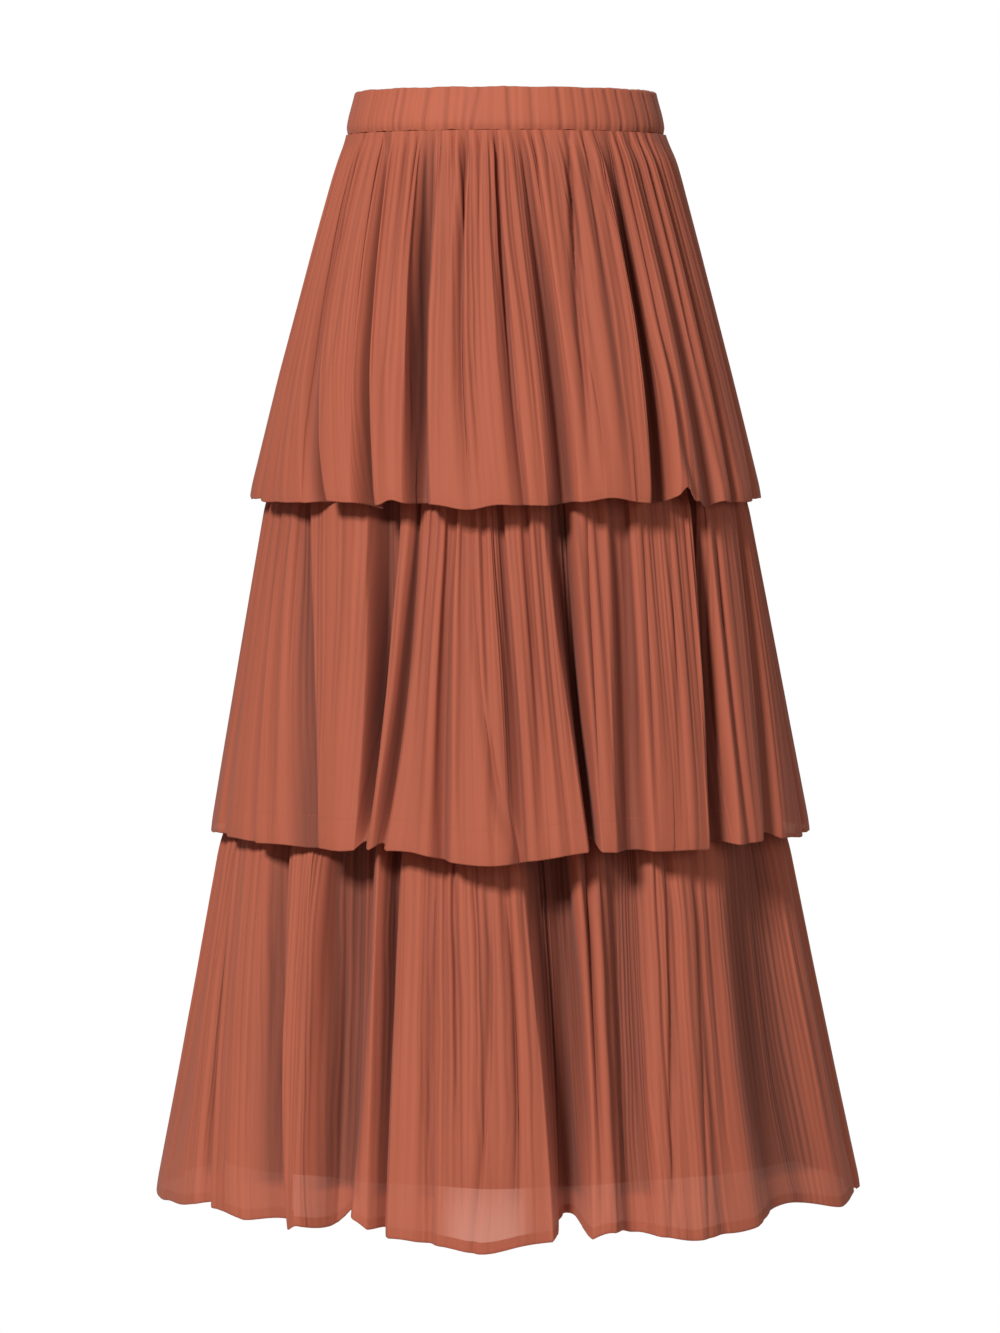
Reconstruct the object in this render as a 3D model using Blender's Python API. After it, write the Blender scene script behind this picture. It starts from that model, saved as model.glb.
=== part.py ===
"""Tiered ruffle skirt, filled out as if worn. Metres, +Z up, the front faces -Y.

The origin is where the skirt is held: the centre of the waistband, halfway up it. Every piece is
cloth, so each is a thin sheet given its wall with Solidify. A tier's sheet follows an ellipse that
widens downwards (its sections) and dips into a valley for each row of its fold table.
"""
import math
from collections import namedtuple

import bpy
import numpy as np

MM = 0.001

BAND_DEPTH = 35 * MM          # finished waistband, top edge to seam
BAND_WALL = 4 * MM            # gathered cloth, doubled over the elastic
CLOTH_WALL = 1.2 * MM
SEAM_GAP = 0.3 * MM
SEAM_TILT = 0.45 * MM         # the rims of two flared walls come this much closer than their seams

TIER_1_HEM = -317.5 * MM
TIER_2_SEAM = -272 * MM
TIER_2_HEM = -592.5 * MM
TIER_3_SEAM = -547.5 * MM
TIER_3_HEM = -896.5 * MM
LINING_HEM = -862 * MM

BAND_TOP = BAND_DEPTH / 2
BAND_SEAM = -BAND_DEPTH / 2
UNDER_BAND = BAND_SEAM - SEAM_GAP - SEAM_TILT

ROW_STOPS = (0.0, 0.16, 0.58, 1.0)         # rows of a tier, as shares of the way from seam to hem
LINING_COLUMNS = 29
BAND_COLUMNS = 44
FOLD_STOPS = (-1.0, -0.5, 0.0, 0.5, 1.0)   # columns across one fold, in its half widths
RIDGE_STEP = 18 * MM          # a ridge gets one more column for each of these in its width
PINCH = 0.7                   # how far the walls of a valley close on each other: 1 shuts it

FRONT, BACK = -1, 1

# A section: height, half width along X, half depth along Y, and how far its centre sits towards +X.
Section = namedtuple("Section", "z half_width half_depth shift")

# A fold is a valley that runs from the seam to the hem. It lies at so many degrees round from the
# middle of the front or back, towards +X, at the seam, halfway and at the hem. Its reach is its half
# width, and its depth is given at the same three places. A lean moves the bottom sideways by that
# share of the reach, under the ridge beside it. The hem rises by lift.
Fold = namedtuple("Fold", "at_top at_mid at_hem reach_top reach_hem d_top d_mid d_hem lean lift")

# A swell is a broad panel that stands out between the valleys, and its hem hangs lower by drop.
Swell = namedtuple("Swell", "at_top at_hem reach out drop")
DEGREES = ("at_top", "at_mid", "at_hem")


def in_metres(kind, rows):
    """The rows of a table in millimetres and degrees, as metres and radians; a lean is a share."""
    units = [1 if name == "lean" else math.radians(1) if name in DEGREES else MM
             for name in kind._fields]
    return [kind(*(value * unit for value, unit in zip(row, units))) for row in rows]


def mixed(sections, z):
    """The section at height z, straight between the rows of the table."""
    heights = [section.z for section in reversed(sections)]
    return Section(*(float(np.interp(z, heights, [row[i] for row in reversed(sections)]))
                     for i in range(len(Section._fields))))


def through(top, mid, hem, v):
    """The smooth curve through a value at the seam (v 0), halfway and at the hem (v 1)."""
    return top * (1 - v) * (1 - 2 * v) + mid * 4 * v * (1 - v) + hem * v * (2 * v - 1)


def speed_at(angle, section):
    """Length of cloth per radian at this angle."""
    return math.hypot(section.half_width * math.cos(angle), section.half_depth * math.sin(angle))


def placed_folds(folds, section, v):
    """Each fold's angle, half width as an angle, and depth, at the share v of the way down."""
    placed = []
    for fold in folds:
        angle = through(fold.at_top, fold.at_mid, fold.at_hem, v)
        reach = fold.reach_top + (fold.reach_hem - fold.reach_top) * v
        depth = max(0.0, through(fold.d_top, fold.d_mid, fold.d_hem, v))
        placed.append((angle, reach / speed_at(angle, section), depth))
    return placed


def columns(placed, extra, end):
    """Angles of the columns: the stops across every fold, and the extra ones on every ridge."""
    angles = [-end]
    for (angle, reach, _), count in zip(placed, extra):
        angles.extend(np.linspace(angles[-1], angle - reach, count + 2)[1:-1])
        angles.extend(angle + stop * reach for stop in FOLD_STOPS)
    angles.extend(np.linspace(angles[-1], end, extra[-1] + 2)[1:])
    return np.array(angles)


def ridge_columns(placed, section, end):
    """How many columns each ridge needs, from one side seam to the other, by its width at the hem."""
    sides = [side for angle, reach, _ in placed for side in (angle - reach, angle + reach)]
    edges = [-end] + sides + [end]
    return [int((high - low) * speed_at((high + low) / 2, section) / RIDGE_STEP)
            for low, high in zip(edges[0::2], edges[1::2])]


def tier_points(sections, folds, swells, facing):
    """The grid of points of one tier's front or back, row by row from its seam to its hem."""
    seam, hem = sections[0].z, sections[-1].z
    last = mixed(sections, hem)
    end_at_hem = math.acos(SEAM_GAP / 2 / last.half_depth)
    extra = ridge_columns(placed_folds(folds, last, 1.0), last, end_at_hem)
    grid = []
    for v in ROW_STOPS:
        z = seam + (hem - seam) * v
        section = mixed(sections, z)
        end = math.acos(SEAM_GAP / 2 / section.half_depth)
        placed = placed_folds(folds, section, v)
        angle = columns(placed, extra, end)
        out = np.zeros_like(angle)
        along = np.zeros_like(angle)
        rise = np.zeros_like(angle)
        for fold, (centre, reach, depth) in zip(folds, placed):
            t = np.clip((angle - centre) / reach, -1, 1)
            bump = (1 + np.cos(math.pi * t)) / 2
            width = reach * speed_at(centre, section)
            out -= depth * bump
            along += width * (fold.lean * bump - PINCH * np.sin(math.pi * t) / math.pi)
            rise += fold.lift * bump * v ** 4
        for swell in swells:
            centre = swell.at_top + (swell.at_hem - swell.at_top) * v
            t = np.clip((angle - centre) * speed_at(centre, section) / swell.reach, -1, 1)
            bump = (1 + np.cos(math.pi * t)) / 2 * v
            out += swell.out * bump
            rise -= swell.drop * bump * v ** 3
        sine, cosine = np.sin(angle), np.cos(angle)
        speed = np.hypot(section.half_width * cosine, section.half_depth * sine)
        normal_x, normal_y = section.half_depth * sine / speed, section.half_width * cosine / speed
        x = section.shift + section.half_width * sine + normal_x * out + normal_y * along
        y = section.half_depth * cosine + normal_y * out - normal_x * along
        grid.append(np.stack([x, facing * y, z + rise], axis=1))
    return np.array(grid)


def plain_points(sections, facing):
    """The grid of points of one half of a plain skirt, a row for each section."""
    grid = []
    for section in sections:
        end = math.acos(SEAM_GAP / 2 / section.half_depth)
        angle = np.linspace(-end, end, LINING_COLUMNS)
        x = section.shift + section.half_width * np.sin(angle)
        y = facing * section.half_depth * np.cos(angle)
        grid.append(np.stack([x, y, np.full_like(angle, section.z)], axis=1))
    return np.array(grid)


def loop_points(sections):
    """The grid of points of a closed loop, a row for each section."""
    angle = np.arange(BAND_COLUMNS) * 2 * math.pi / BAND_COLUMNS
    return np.array([np.stack([section.shift + section.half_width * np.sin(angle),
                               -section.half_depth * np.cos(angle),
                               np.full_like(angle, section.z)], axis=1) for section in sections])


def cloth(name, grid, wall, material, closed=False, facing=FRONT):
    """A named sheet over the grid of points, faces outwards, with its wall as a Solidify modifier."""
    rows, count = grid.shape[:2]
    last = count if closed else count - 1
    faces = []
    for row in range(rows - 1):
        for column in range(last):
            right = (column + 1) % count
            face = [row * count + column, (row + 1) * count + column,
                    (row + 1) * count + right, row * count + right]
            faces.append(face if facing == FRONT else face[::-1])
    mesh = bpy.data.meshes.new(name)
    mesh.from_pydata(grid.reshape(-1, 3).tolist(), [], faces)
    mesh.materials.append(material)
    mesh.shade_smooth()
    piece = bpy.data.objects.new(name, mesh)
    bpy.context.scene.collection.objects.link(piece)
    solid = piece.modifiers.new("wall", "SOLIDIFY")
    solid.thickness = wall
    solid.offset = 0
    return piece


def cloth_material(name, colour, roughness):
    """A plain woven finish."""
    material = bpy.data.materials.new(name)
    material.use_nodes = True
    shader = material.node_tree.nodes["Principled BSDF"]
    shader.inputs["Base Color"].default_value = (*colour, 1)
    shader.inputs["Roughness"].default_value = roughness
    shader.inputs["Metallic"].default_value = 0
    return material


for old in list(bpy.data.objects):
    bpy.data.objects.remove(old, do_unlink=True)

chiffon = cloth_material("chiffon", (0.46, 0.125, 0.072), 0.85)
foundation = cloth_material("foundation", (0.36, 0.095, 0.055), 0.75)

# ---- Waistband: a loop of doubled cloth over elastic, a little wider at its seam than at its top.
BAND = in_metres(Section, [
    # z      half_width half_depth shift
    (BAND_TOP / MM, 121.2, 88.6,   0),
    (0,      126.5,     92.6,      0),
    (BAND_SEAM / MM, 130.3, 96.6,  0)])
cloth("waistband", loop_points(BAND), BAND_WALL, chiffon, closed=True)

# ---- Lining: the plain foundation under the tiers, sewn into the band's lower edge.
FROM_MIDDLE = 1.25 * MM       # lining and tier lie this far each side of the middle of the band


def under_band(away):
    """The band's lower edge as a section, made larger by this much and set just below it."""
    edge = BAND[-1]
    return Section(UNDER_BAND, edge.half_width + away, edge.half_depth + away, edge.shift)


LINING = [under_band(-FROM_MIDDLE)] + in_metres(Section, [
    (-120,   143,       98,        0),
    (TIER_2_SEAM / MM, 176, 118,   0),
    (TIER_3_SEAM / MM, 212, 147,   0),
    (LINING_HEM / MM, 256, 186,    0)])
cloth("lining_front", plain_points(LINING, FRONT), CLOTH_WALL, foundation)
cloth("lining_back", plain_points(LINING, BACK), CLOTH_WALL, foundation, facing=BACK)

# ---- Tier 1: gathered into the band's lower edge, outside the lining.
TIER_1 = [under_band(FROM_MIDDLE)] + in_metres(Section, [
    # z      half_width half_depth shift
    (-32,    137.6,     104,       1.6),
    (-110,   159,       124,       0.8),
    (-215,   187,       151,       0),
    (TIER_1_HEM / MM, 212.8, 176,  0)])
TIER_1_FRONT = in_metres(Fold, [
    # at: top, mid, hem   reach   depth       lean  lift
    (-80, -80, -74,       4, 13,  0, 4, 6,    0.0,  4),
    (-62, -60, -47,       5, 15,  0, 10, 14,  0.3,  0),
    (-47.5, -40.5, -31,   6, 12,  0, 14, 17,  0.3,  -4),
    (-28.5, -24, -19.5,   7, 15,  0, 22, 25,  0.1,  -1),
    (-15, -13, -8,        5, 10,  0, 8, 2,    0.3,  0),
    (-4.6, -1, 3,         5, 11,  0, 9, 12,   0.4,  0),
    (3.2, 10, 12.7,       7, 14,  0, 16, 21,  0.2,  0),
    (22, 19.5, 20,        5, 9,   0, 8, 1,    0.2,  0),
    (37, 38.7, 35.8,      7, 15,  0, 22, 26,  0.1,  1),
    (48, 51, 50.5,        5, 13,  0, 9, 15,   0.3,  -5),
    (60, 64, 63,          5, 14,  0, 7, 9,    0.2,  0),
    (72, 79, 76,          5, 13,  0, 4, 6,    0.0,  1)])
TIER_1_BACK = in_metres(Fold, [
    (-82, -80, -77,       5, 14,  0, 5, 7,    0.0,  1),
    (-69, -66, -61,       5, 15,  0, 6, 9,    0.2,  1),
    (-53, -49, -44,       6, 17,  0, 14, 18,  0.2,  4),
    (-36, -32, -29,       7, 17,  0, 18, 23,  -0.3, 3),
    (-21, -18, -14,       6, 13,  0, 12, 6,   0.0,  0),
    (-7, -6, -4,          7, 18,  0, 20, 25,  0.3,  5),
    (8, 7, 8,             6, 14,  0, 9, 12,   0.0,  1),
    (22, 21, 20.5,        7, 18,  0, 19, 24,  -0.2, 4),
    (36, 34.5, 33,        6, 15,  0, 11, 8,   0.0,  1),
    (53, 50, 46.5,        6, 16,  0, 13, 16,  0.3,  5),
    (68, 66, 62,          6, 14,  0, 7, 9,    0.0,  1),
    (82, 79, 76,          5, 15,  0, 5, 8,    0.0,  2)])
cloth("tier_1_front", tier_points(TIER_1, TIER_1_FRONT, [], FRONT), CLOTH_WALL, chiffon)
cloth("tier_1_back", tier_points(TIER_1, TIER_1_BACK, [], BACK), CLOTH_WALL, chiffon, facing=BACK)

# ---- Tier 2: gathered and sewn on the lining under tier 1.
FACET_SAG = 0.65 * MM         # a seam's facets cut this far inside its curve at the sides
ON_LINING = (CLOTH_WALL + SEAM_GAP + FACET_SAG) / MM
TIER_2 = in_metres(Section, [
    (TIER_2_SEAM / MM, 176 + ON_LINING, 118 + ON_LINING, 0),
    (TIER_1_HEM / MM, 199, 143,    1),
    (-410,   216,       167,       2),
    (-500,   232.5,     190,       3),
    (TIER_2_HEM / MM, 249.8, 215,  4)])
TIER_2_FRONT = in_metres(Fold, [
    # at: top, mid, hem   reach   depth       lean  lift
    (-80, -79, -72,       5, 14,  0, 4, 6,    0.0,  0),
    (-68, -65, -58,       5, 12,  0, 5, 6,    0.2,  0),
    (-62, -50, -39.5,     8, 18,  0, 11, 14,  0.5,  0),
    (-31, -29.2, -28,     14, 8,  0, 27, 26,  0.1,  9),
    (-20.5, -21, -23,     7, 9,   0, 16, 16,  0.2,  4),
    (-12, -13, -12.6,     6, 13,  0, 6, 8,    0.0,  0),
    (-3.1, -0.5, 1.1,     7, 16,  0, 9, 8,    0.3,  0),
    (11.6, 12.3, 13.8,    14, 8,  0, 27, 27,  0.2,  8),
    (26.5, 24.8, 21.4,    9, 16,  0, 14, 16,  0.1,  0),
    (51, 46.5, 43,        8, 12,  0, 23, 25,  0.3,  2),
    (60, 54, 51,          5, 9,   0, 4, 3,    0.2,  0),
    (74, 67, 59,          8, 16,  0, 11, 14,  0.2,  6),
    (84, 82, 78,          5, 13,  0, 4, 7,    0.0,  1)])
TIER_2_BACK = in_metres(Fold, [
    (-82, -80, -78,       6, 16,  0, 6, 9,    0.0,  1),
    (-68, -66, -64,       6, 16,  0, 8, 10,   0.2,  2),
    (-51, -48, -47,       7, 17,  0, 17, 20,  0.2,  6),
    (-36, -34, -33,       7, 15,  0, 12, 9,   0.0,  0),
    (-22, -20.5, -20.5,   8, 18,  0, 26, 27,  -0.3, 9),
    (-10, -9.5, -9,       6, 12,  0, 9, 6,    0.0,  0),
    (3, 2, 2.5,           8, 15,  0, 24, 26,  0.2,  8),
    (15, 13, 11.5,        6, 13,  0, 10, 12,  0.0,  1),
    (28, 26, 24.5,        8, 18,  0, 25, 24,  0.3,  9),
    (44, 41, 39,          7, 17,  0, 14, 16,  0.0,  3),
    (60, 57, 55.5,        6, 15,  0, 10, 13,  0.0,  3),
    (76, 74, 73,          6, 16,  0, 7, 9,    0.0,  1)])
TIER_2_PANELS = in_metres(Swell, [
    # at: top, hem  reach  out  drop
    (-6.5, -3.5,    80,    8,   7)])
TIER_2_BACK_PANELS = in_metres(Swell, [
    (-16, -14.5,    60,    5,   4),
    (21, 18,        60,    5,   4)])
cloth("tier_2_front", tier_points(TIER_2, TIER_2_FRONT, TIER_2_PANELS, FRONT), CLOTH_WALL, chiffon)
cloth("tier_2_back", tier_points(TIER_2, TIER_2_BACK, TIER_2_BACK_PANELS, BACK), CLOTH_WALL, chiffon,
      facing=BACK)

# ---- Tier 3: the widest tier, gathered and sewn on the lining under tier 2.
TIER_3 = in_metres(Section, [
    (TIER_3_SEAM / MM, 212 + ON_LINING, 147 + ON_LINING, 0),
    (-600,   235.5,     186,       -1),
    (-700,   255,       204,       0),
    (-800,   275,       227,       1),
    (TIER_3_HEM / MM, 294.7, 249,  2)])
TIER_3_FRONT = in_metres(Fold, [
    # at: top, mid, hem   reach   depth       lean  lift
    (-74, -66, -57.5,     8, 18,  0, 12, 15,  0.3,  3),
    (-52, -46.5, -39,     12, 22, 0, 10, 13,  0.3,  5),
    (-34.6, -30, -27,     16, 22, 0, 26, 30,  0.1,  10),
    (-22.3, -20.2, -19.2, 8, 10,  0, 22, 24,  0.3,  10),
    (-14, -13.2, -12.5,   6, 12,  0, 6, 5,    0.2,  0),
    (-1.8, 1.4, 1,        6, 12,  0, 6, 1,    0.0,  0),
    (8.8, 8.7, 9.6,       20, 17, 0, 34, 38,  0.1,  20),
    (24, 20.8, 18,        20, 13, 0, 20, 23,  0.0,  13),
    (62, 53, 51.5,        30, 46, 0, 24, 28,  0.0,  22),
    (82, 81, 80,          6, 14,  0, 6, 9,    0.0,  2)])
TIER_3_BACK = in_metres(Fold, [
    (-82, -80, -78,       6, 20,  0, 9, 13,   0.0,  4),
    (-65, -63, -60,       7, 20,  0, 12, 16,  0.0,  7),
    (-47, -44, -42,       7, 18,  0, 16, 18,  0.2,  9),
    (-31, -29, -27.5,     8, 20,  0, 26, 30,  -0.2, 16),
    (-17, -16, -15.5,     7, 15,  0, 12, 12,  0.0,  3),
    (-6, -5, -5.5,        9, 19,  0, 30, 36,  0.3,  18),
    (7, 7, 6,             7, 16,  0, 14, 12,  0.0,  4),
    (19, 18.5, 18,        9, 20,  0, 30, 33,  -0.3, 17),
    (33, 32, 30.5,        8, 19,  0, 18, 21,  0.0,  10),
    (52, 50, 48.5,        8, 21,  0, 15, 18,  0.2,  9),
    (72, 70, 68,          7, 20,  0, 10, 14,  0.0,  5)])
TIER_3_PANELS = in_metres(Swell, [
    # at: top, hem  reach  out  drop
    (-6.5, -5,      62,    9,   6),
    (-41, -34.5,    13,    4,   3),
    (38, 30,        34,    7,   3)])
TIER_3_BACK_PANELS = in_metres(Swell, [
    (0.5, 0.5,      30,    6,   4),
    (-27, -21.5,    30,    5,   3),
    (30, 24,        30,    5,   3)])
cloth("tier_3_front", tier_points(TIER_3, TIER_3_FRONT, TIER_3_PANELS, FRONT), CLOTH_WALL, chiffon)
cloth("tier_3_back", tier_points(TIER_3, TIER_3_BACK, TIER_3_BACK_PANELS, BACK), CLOTH_WALL, chiffon,
      facing=BACK)
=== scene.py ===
"""The looks of a tiered ruffle skirt: a gathered elastic waistband, three overlapping tiers of fine
crinkle-pleated chiffon and the plain lining that carries them, filled out as if worn.

Metres, +Z up, the front faces -Y, and the origin is the middle of the waistband.
"""
import math
from collections import namedtuple

import bpy
import numpy as np
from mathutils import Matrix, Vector


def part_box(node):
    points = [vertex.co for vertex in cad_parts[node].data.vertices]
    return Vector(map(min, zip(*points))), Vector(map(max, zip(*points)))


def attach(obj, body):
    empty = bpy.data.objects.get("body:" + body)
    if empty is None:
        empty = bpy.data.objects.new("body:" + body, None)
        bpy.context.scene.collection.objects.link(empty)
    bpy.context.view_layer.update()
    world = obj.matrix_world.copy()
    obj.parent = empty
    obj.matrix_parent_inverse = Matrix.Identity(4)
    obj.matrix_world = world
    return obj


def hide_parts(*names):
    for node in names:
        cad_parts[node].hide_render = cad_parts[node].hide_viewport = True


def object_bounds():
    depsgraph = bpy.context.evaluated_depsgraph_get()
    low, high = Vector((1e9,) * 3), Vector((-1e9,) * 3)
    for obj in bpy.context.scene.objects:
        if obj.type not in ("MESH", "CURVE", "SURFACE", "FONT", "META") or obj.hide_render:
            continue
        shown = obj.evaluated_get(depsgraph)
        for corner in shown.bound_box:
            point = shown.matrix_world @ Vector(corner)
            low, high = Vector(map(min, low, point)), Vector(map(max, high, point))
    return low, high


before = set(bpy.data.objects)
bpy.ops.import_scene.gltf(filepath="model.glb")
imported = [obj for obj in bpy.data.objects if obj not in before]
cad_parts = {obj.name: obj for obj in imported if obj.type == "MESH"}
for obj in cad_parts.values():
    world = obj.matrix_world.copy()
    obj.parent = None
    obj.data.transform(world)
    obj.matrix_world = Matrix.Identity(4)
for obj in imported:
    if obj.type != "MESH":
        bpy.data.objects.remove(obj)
cad_box = [list(corner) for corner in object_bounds()]

# ---- Lining ------------------------------------------------------------------------------------
# The foundation skirt: two plain panels of matt woven lining, sewn into the waistband's lower edge.
# Tiers 2 and 3 are sewn onto it, and its own narrow hem shows through the sheer bottom tier.
MM = 0.001
FRONT, BACK = 1, -1

# A section: height, half width along X, half depth along Y, and how far its centre sits towards +X.
Section = namedtuple("Section", "z half_width half_depth shift")

# Columns that hold degrees, and columns that hold shares. All other columns hold millimetres.
ANGLES = ("at", "at_top", "at_mid", "at_hem", "slant")
SHARES = ("lean", "flat", "from_v", "to_v", "spread", "sharp")
ROUNDED = 12 * MM             # the corners between two sections are rounded over this, up and down


def in_metres(kind, rows):
    """A table written in millimetres and degrees, as metres and radians; shares stay as they are."""
    units = {**dict.fromkeys(ANGLES, math.radians(1)), **dict.fromkeys(SHARES, 1)}
    return [kind(*(value * units.get(name, MM) for name, value in zip(kind._fields, row)))
            for row in rows]


def sections_at(sections, z):
    """The ellipses at heights z, a column vector each: smooth curves through the rows of the table.

    Each value is a straight blend of the two nearest rows, averaged over ROUNDED up and down.
    """
    table = np.array(sections)[::-1]
    steps = np.linspace(-ROUNDED, ROUNDED, 7)
    inside = np.clip(z[:, None] + steps, table[0, 0], table[-1, 0])
    return [np.interp(inside, table[:, 0], table[:, i]).mean(axis=1)[:, None] for i in (1, 2, 3)]


def on_ellipse(angle, width, depth, shift, side):
    """Point, outward normal and direction along the cloth at an angle round the front or the back.

    x = shift + side * width * sin(angle) and y = -side * depth * cos(angle), so the angle is 0 in the
    middle and a right angle at the side seams, and both halves run the same way round.
    """
    sine, cosine = np.sin(angle), np.cos(angle)
    speed = np.hypot(width * cosine, depth * sine)
    point = np.stack([shift + side * width * sine, -side * depth * cosine], axis=-1)
    along = np.stack([side * width * cosine, side * depth * sine], axis=-1) / speed[..., None]
    normal = np.stack([along[..., 1], -along[..., 0]], axis=-1)
    return point, normal, along, speed


def ripple(u, v, seed, waves=4):
    """Soft unevenness between about -1 and 1: a sum of sines across u and v with seeded phases."""
    rng = np.random.default_rng(seed)
    total = np.zeros(np.broadcast(u, v).shape)
    for wave in range(1, waves + 1):
        across, down = rng.uniform(0.6, 1.4) * wave, rng.uniform(-0.8, 0.8) * wave
        phase = rng.uniform(0, 6.3)
        total = total + np.sin(2 * math.pi * (across * u + down * v) + phase) / wave
    return total / 1.6


def surface_normals(points):
    """Outward unit normals of a grid of points: down the cloth crossed with along the cloth."""
    down, across = np.gradient(points, axis=0), np.gradient(points, axis=1)
    normal = np.cross(down, across)
    return normal / np.maximum(np.linalg.norm(normal, axis=-1, keepdims=True), 1e-12)


def add_piece(name, points, uv, material, loop=False, **shares):
    """A mesh over a grid of points, smooth, faces outwards, with the cloth's own lengths as its UV map.

    Each of the shares is a value from 0 to 1 at every point, kept as an attribute of that name.
    """
    rows, count = points.shape[:2]
    index = np.arange(rows * count).reshape(rows, count)
    if loop:
        index = np.concatenate([index, index[:, :1]], axis=1)
    corners = (slice(None, -1), slice(None, -1)), (slice(1, None), slice(None, -1)), \
        (slice(1, None), slice(1, None)), (slice(None, -1), slice(1, None))
    faces = np.stack([index[corner] for corner in corners], axis=-1).reshape(-1, 4)
    mesh = bpy.data.meshes.new(name)
    mesh.from_pydata(points.reshape(-1, 3).tolist(), [], faces.tolist())
    layer = mesh.uv_layers.new(name="cloth")
    per_corner = np.stack([uv[corner] for corner in corners], axis=-2).reshape(-1, 2)
    layer.data.foreach_set("uv", per_corner.astype(np.float32).ravel())
    for share, values in shares.items():
        attribute = mesh.attributes.new(share, "FLOAT", "POINT")
        attribute.data.foreach_set("value", values.astype(np.float32).ravel())
    mesh.materials.append(material)
    mesh.shade_smooth()
    piece = bpy.data.objects.new(name, mesh)
    bpy.context.scene.collection.objects.link(piece)
    return piece


class Value:
    """A socket of a material's nodes, with sums on it written as Python sums."""

    def __init__(self, finish, socket):
        self.finish, self.socket = finish, socket

    def maths(self, operation, *others):
        inputs = {i: other for i, other in enumerate((self, *others))}
        return self.finish.node("ShaderNodeMath", {"operation": operation}, inputs)

    def __add__(self, other):
        return self.maths("ADD", other)

    def __mul__(self, other):
        return self.maths("MULTIPLY", other)

    def __sub__(self, other):
        return self.maths("SUBTRACT", other)

    def __rsub__(self, other):
        return self.finish.node("ShaderNodeMath", {"operation": "SUBTRACT"}, {0: other, 1: self})

    __radd__, __rmul__ = __add__, __mul__


class Finish:
    """One material under construction."""

    def __init__(self, name):
        self.material = bpy.data.materials.new(name)
        self.material.use_nodes = True
        self.tree = self.material.node_tree
        self.tree.nodes.clear()

    def node(self, kind, settings=None, inputs=None, output=0):
        """Any node: its settings first, then the values or links of its sockets; returns one output."""
        made = self.tree.nodes.new(kind)
        for name, setting in (settings or {}).items():
            setattr(made, name, setting)
        for name, value in (inputs or {}).items():
            if isinstance(value, Value):
                self.tree.links.new(value.socket, made.inputs[name])
            else:
                made.inputs[name].default_value = value
        return Value(self, made.outputs[output]) if made.outputs else None

    def mixed(self, factor, first, second):
        """A colour between two colours."""
        return self.node("ShaderNodeMix", {"data_type": "RGBA"}, {0: factor, 6: first, 7: second}, output=2)

    def noise(self, vector, scale, stretch=(1, 1, 1), detail=2.0):
        """Noise read along a vector that is first stretched."""
        placed = self.node("ShaderNodeMapping", {}, {"Vector": vector, "Scale": stretch})
        return self.node("ShaderNodeTexNoise", {}, {"Vector": placed, "Scale": scale, "Detail": detail})


LINING_COLOUR, LINING_SHADE = (0.33, 0.085, 0.048, 1), (0.27, 0.068, 0.038, 1)
LINING_HEM_DEPTH = 12 * MM


def lining_finish():
    """Plain woven lining: a matt ground with a faint weave and soft uneven dyeing."""
    finish = Finish("lining cloth")
    cloth = finish.node("ShaderNodeUVMap", {"uv_map": "cloth"})
    place = finish.node("ShaderNodeTexCoord", output=3)
    dyeing = finish.noise(place, 9.0)
    weave = finish.noise(cloth, 1.0, (1500, 1500, 1))
    surface = finish.node("ShaderNodeBump", {}, {"Strength": 0.25, "Distance": 0.0002, "Height": weave})
    shader = finish.node("ShaderNodeBsdfPrincipled", {}, {
        "Base Color": finish.mixed(dyeing * 0.6 + weave * 0.4, LINING_SHADE, LINING_COLOUR),
        "Roughness": 0.8, "Normal": surface})
    finish.node("ShaderNodeOutputMaterial", {}, {"Surface": shader})
    return finish.material


LINING_COLUMNS, LINING_ROWS = 120, 44
LINING_FOLD = 3 * MM          # depth of its soft folds at the hem
LINING_WAVE = 2.5 * MM        # how far its hem waves up and down
LINING_TURN = 0.8 * MM        # how far inside the face its turned-up hem lies
LINING_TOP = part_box("lining_front")[1].z
LINING_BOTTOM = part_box("lining_front")[0].z
TIER_2_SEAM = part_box("tier_2_back")[1].z
TIER_3_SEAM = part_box("tier_3_back")[1].z
LINING = in_metres(Section, [
    # z             half_width half_depth shift
    (LINING_TOP / MM,    129,   95.3,  0),
    (-120,               143,   98,    0),
    (TIER_2_SEAM / MM,   176,   118,   0),
    (TIER_3_SEAM / MM,   212,   147,   0),
    (LINING_BOTTOM / MM, 256,   186,   0)])


def lining_points(side):
    """Half of the lining: the ellipse of each height, with a hem that is turned up inside.

    A ripple across the cloth moves it in and out by LINING_FOLD times the square of the share of the way
    down, and up and down by LINING_WAVE at the hem. Both fade to nothing at the side seams.
    """
    turned = LINING_HEM_DEPTH / (LINING_TOP - LINING_BOTTOM)
    v = np.linspace(0, 1, LINING_ROWS)
    v = np.append(v, [1.0, 1 - turned / 2, 1 - turned])
    z = LINING_TOP + (LINING_BOTTOM - LINING_TOP) * v
    angle = np.linspace(-math.pi / 2, math.pi / 2, LINING_COLUMNS)[None, :]
    width, depth, shift = sections_at(LINING, z)
    point, normal, _, speed = on_ellipse(angle, width, depth, shift, side)
    out = LINING_FOLD * ripple(angle / 2, v[:, None] * 0.3, 40 + side, 6) * np.cos(angle) * v[:, None] ** 2
    out[-3:] -= LINING_TURN
    flat = point + normal * out[..., None]
    wave = LINING_WAVE * ripple(angle / 2, 0, 44 + side, 5) * np.cos(angle) * v[:, None] ** 8
    points = np.dstack([flat, z[:, None] + wave])
    uv = np.dstack([np.cumsum(speed, axis=1) * math.pi / LINING_COLUMNS,
                    np.broadcast_to(-z[:, None], speed.shape)])
    return points, uv


lining_cloth = lining_finish()
for node, side in (("lining_front", FRONT), ("lining_back", BACK)):
    lining = add_piece(node + "_cloth", *lining_points(side), lining_cloth)
    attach(lining, "root")
    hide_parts(node)

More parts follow.
